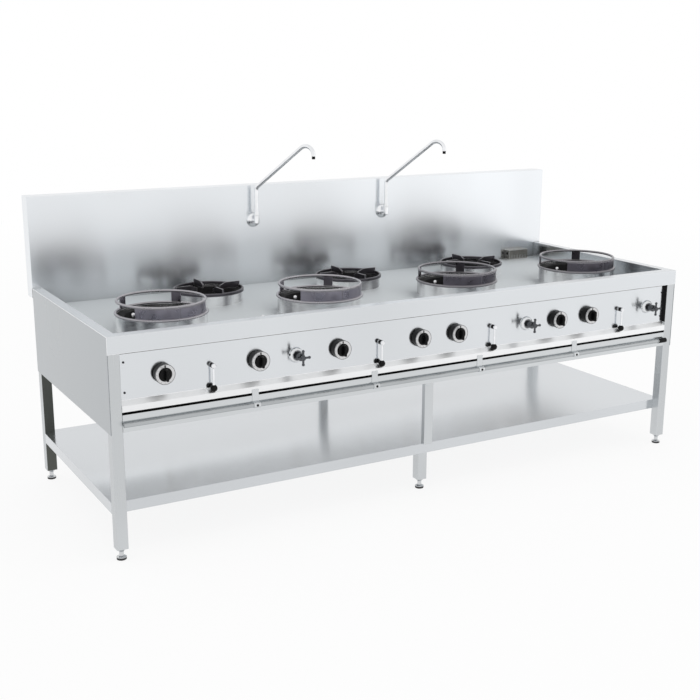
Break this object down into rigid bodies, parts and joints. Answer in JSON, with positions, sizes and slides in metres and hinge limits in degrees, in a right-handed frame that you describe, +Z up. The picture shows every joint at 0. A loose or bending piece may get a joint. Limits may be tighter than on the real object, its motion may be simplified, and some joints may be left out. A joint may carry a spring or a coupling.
{
  "type": "wok range",
  "caption": "Stainless commercial wok range with rear simmering burners, sunken rinsing tray, gas knobs and levers, water taps, swivel spouts, tall splashback and a pan shelf.",
  "frame": {"origin": "on the floor under the middle of the overall outline", "axes": "+X to the cook's right, +Y back to the wall, +Z up"},
  "size_m": [2.8, 1.15, 1.4673],
  "materials": {
    "satin_steel": "satin brushed stainless sheet",
    "polished_steel": "polished stainless",
    "chrome_plate": "bright chrome plate",
    "dial_metal": "matt anodised",
    "black_plastic": "glossy black moulding",
    "ring_steel": "dark heat-proof enamel",
    "cast_iron": "dark cast iron",
    "lining": "sooty cast lining",
    "brass_fittings": "machined brass",
    "pipe_paint": "grey painted steel pipe",
    "copper_pipe": "drawn copper pipe"
  },
  "bodies": {
    "root": {"back_panel": "satin_steel", "backsplash": "satin_steel", "control_panel": "satin_steel", "cross_rails": "satin_steel", "dial_rings": "dial_metal", "drain_pipe": "polished_steel", "faucet_bodies": "chrome_plate", "feet": "chrome_plate", "front_tube": "polished_steel", "gas_manifold": "pipe_paint", "gas_valves": "brass_fittings", "knob_bezels": "black_plastic", "legs": "satin_steel", "panel_screws": "chrome_plate", "pot_liners": "lining", "shelf": "satin_steel", "side_panels": "satin_steel", "simmer_burners": "cast_iron", "simmer_pots": "polished_steel", "tap_bodies": "chrome_plate", "tube_brackets": "satin_steel", "water_pipe": "copper_pipe", "wok_burners": "cast_iron", "wok_pots": "polished_steel", "worktop": "satin_steel"},
    "valve_spindle_1": {"valve_spindle_1": "brass_fittings"},
    "knob_1": {"knob_1": "black_plastic"},
    "valve_spindle_2": {"valve_spindle_2": "brass_fittings"},
    "knob_2": {"knob_2": "black_plastic"},
    "valve_spindle_3": {"valve_spindle_3": "brass_fittings"},
    "knob_3": {"knob_3": "black_plastic"},
    "valve_spindle_4": {"valve_spindle_4": "brass_fittings"},
    "knob_4": {"knob_4": "black_plastic"},
    "valve_spindle_5": {"valve_spindle_5": "brass_fittings"},
    "knob_5": {"knob_5": "black_plastic"},
    "valve_spindle_6": {"valve_spindle_6": "brass_fittings"},
    "knob_6": {"knob_6": "black_plastic"},
    "valve_spindle_7": {"valve_spindle_7": "brass_fittings"},
    "knob_7": {"knob_7": "black_plastic"},
    "lever_1": {"lever_1": "chrome_plate", "lever_ball_1": "black_plastic"},
    "lever_2": {"lever_2": "chrome_plate", "lever_ball_2": "black_plastic"},
    "lever_3": {"lever_3": "chrome_plate", "lever_ball_3": "black_plastic"},
    "lever_4": {"lever_4": "chrome_plate", "lever_ball_4": "black_plastic"},
    "tap_handle_1": {"tap_handle_1": "chrome_plate"},
    "tap_handle_2": {"tap_handle_2": "chrome_plate"},
    "tap_handle_3": {"tap_handle_3": "chrome_plate"},
    "spout_1": {"spout_1": "chrome_plate"},
    "spout_2": {"spout_2": "chrome_plate"},
    "wok_ring_1": {"wok_ring_1": "ring_steel"},
    "wok_ring_2": {"wok_ring_2": "ring_steel"},
    "wok_ring_3": {"wok_ring_3": "ring_steel"},
    "wok_ring_4": {"wok_ring_4": "ring_steel"},
    "trivet_1": {"trivet_1": "cast_iron"},
    "trivet_2": {"trivet_2": "cast_iron"},
    "trivet_3": {"trivet_3": "cast_iron"},
    "strainer": {"strainer": "satin_steel"}
  },
  "joints": [
    {"name": "knob_1_turn", "type": "hinge", "parent": "root", "child": "valve_spindle_1", "pos_m": [-1.185, -0.505, 0.705], "axis": [0, -1, 0], "range_deg": [0, 210]},
    {"name": "knob_1_push", "type": "slide", "parent": "valve_spindle_1", "child": "knob_1", "axis": [0, 1, 0], "range_m": [0, 0.004], "stiffness_N_per_m": 600},
    {"name": "knob_2_turn", "type": "hinge", "parent": "root", "child": "valve_spindle_2", "pos_m": [-0.796, -0.505, 0.705], "axis": [0, -1, 0], "range_deg": [0, 210]},
    {"name": "knob_2_push", "type": "slide", "parent": "valve_spindle_2", "child": "knob_2", "axis": [0, 1, 0], "range_m": [0, 0.004], "stiffness_N_per_m": 600},
    {"name": "knob_3_turn", "type": "hinge", "parent": "root", "child": "valve_spindle_3", "pos_m": [-0.43233, -0.505, 0.705], "axis": [0, -1, 0], "range_deg": [0, 210]},
    {"name": "knob_3_push", "type": "slide", "parent": "valve_spindle_3", "child": "knob_3", "axis": [0, 1, 0], "range_m": [0, 0.004], "stiffness_N_per_m": 600},
    {"name": "knob_4_turn", "type": "hinge", "parent": "root", "child": "valve_spindle_4", "pos_m": [-0.04533, -0.505, 0.705], "axis": [0, -1, 0], "range_deg": [0, 210]},
    {"name": "knob_4_push", "type": "slide", "parent": "valve_spindle_4", "child": "knob_4", "axis": [0, 1, 0], "range_m": [0, 0.004], "stiffness_N_per_m": 600},
    {"name": "knob_5_turn", "type": "hinge", "parent": "root", "child": "valve_spindle_5", "pos_m": [0.14233, -0.505, 0.705], "axis": [0, -1, 0], "range_deg": [0, 210]},
    {"name": "knob_5_push", "type": "slide", "parent": "valve_spindle_5", "child": "knob_5", "axis": [0, 1, 0], "range_m": [0, 0.004], "stiffness_N_per_m": 600},
    {"name": "knob_6_turn", "type": "hinge", "parent": "root", "child": "valve_spindle_6", "pos_m": [0.69433, -0.505, 0.705], "axis": [0, -1, 0], "range_deg": [0, 210]},
    {"name": "knob_6_push", "type": "slide", "parent": "valve_spindle_6", "child": "knob_6", "axis": [0, 1, 0], "range_m": [0, 0.004], "stiffness_N_per_m": 600},
    {"name": "knob_7_turn", "type": "hinge", "parent": "root", "child": "valve_spindle_7", "pos_m": [0.881, -0.505, 0.705], "axis": [0, -1, 0], "range_deg": [0, 210]},
    {"name": "knob_7_push", "type": "slide", "parent": "valve_spindle_7", "child": "knob_7", "axis": [0, 1, 0], "range_m": [0, 0.004], "stiffness_N_per_m": 600},
    {"name": "lever_1_swing", "type": "hinge", "parent": "root", "child": "lever_1", "pos_m": [-0.992, -0.505, 0.712], "axis": [0, 1, 0], "range_deg": [0, 90]},
    {"name": "lever_2_swing", "type": "hinge", "parent": "root", "child": "lever_2", "pos_m": [-0.24533, -0.505, 0.712], "axis": [0, 1, 0], "range_deg": [0, 90]},
    {"name": "lever_3_swing", "type": "hinge", "parent": "root", "child": "lever_3", "pos_m": [0.32833, -0.505, 0.712], "axis": [0, 1, 0], "range_deg": [0, 90]},
    {"name": "lever_4_swing", "type": "hinge", "parent": "root", "child": "lever_4", "pos_m": [1.068, -0.505, 0.712], "axis": [0, 1, 0], "range_deg": [0, 90]},
    {"name": "tap_handle_1_turn", "type": "hinge", "parent": "root", "child": "tap_handle_1", "pos_m": [-0.631, -0.558, 0.705], "axis": [0, -1, 0], "range_deg": [0, 720]},
    {"name": "tap_handle_2_turn", "type": "hinge", "parent": "root", "child": "tap_handle_2", "pos_m": [0.51733, -0.558, 0.705], "axis": [0, -1, 0], "range_deg": [0, 720]},
    {"name": "tap_handle_3_turn", "type": "hinge", "parent": "root", "child": "tap_handle_3", "pos_m": [1.243, -0.558, 0.705], "axis": [0, -1, 0], "range_deg": [0, 720]},
    {"name": "spout_1_swing", "type": "hinge", "parent": "root", "child": "spout_1", "pos_m": [-0.343, 0.455, 1.136], "axis": [0, 0, 1], "range_deg": [-115, 55]},
    {"name": "spout_2_swing", "type": "hinge", "parent": "root", "child": "spout_2", "pos_m": [0.371, 0.455, 1.136], "axis": [0, 0, 1], "range_deg": [-115, 55]},
    {"name": "wok_ring_1_lift", "type": "slide", "parent": "root", "child": "wok_ring_1", "axis": [0, 0, 1], "range_m": [0, 0.1]},
    {"name": "wok_ring_2_lift", "type": "slide", "parent": "root", "child": "wok_ring_2", "axis": [0, 0, 1], "range_m": [0, 0.1]},
    {"name": "wok_ring_3_lift", "type": "slide", "parent": "root", "child": "wok_ring_3", "axis": [0, 0, 1], "range_m": [0, 0.1]},
    {"name": "wok_ring_4_lift", "type": "slide", "parent": "root", "child": "wok_ring_4", "axis": [0, 0, 1], "range_m": [0, 0.1]},
    {"name": "trivet_1_lift", "type": "slide", "parent": "root", "child": "trivet_1", "axis": [0, 0, 1], "range_m": [0, 0.08]},
    {"name": "trivet_2_lift", "type": "slide", "parent": "root", "child": "trivet_2", "axis": [0, 0, 1], "range_m": [0, 0.08]},
    {"name": "trivet_3_lift", "type": "slide", "parent": "root", "child": "trivet_3", "axis": [0, 0, 1], "range_m": [0, 0.08]},
    {"name": "strainer_lift", "type": "slide", "parent": "root", "child": "strainer", "axis": [0, 0, 1], "range_m": [0, 0.08]}
  ]
}
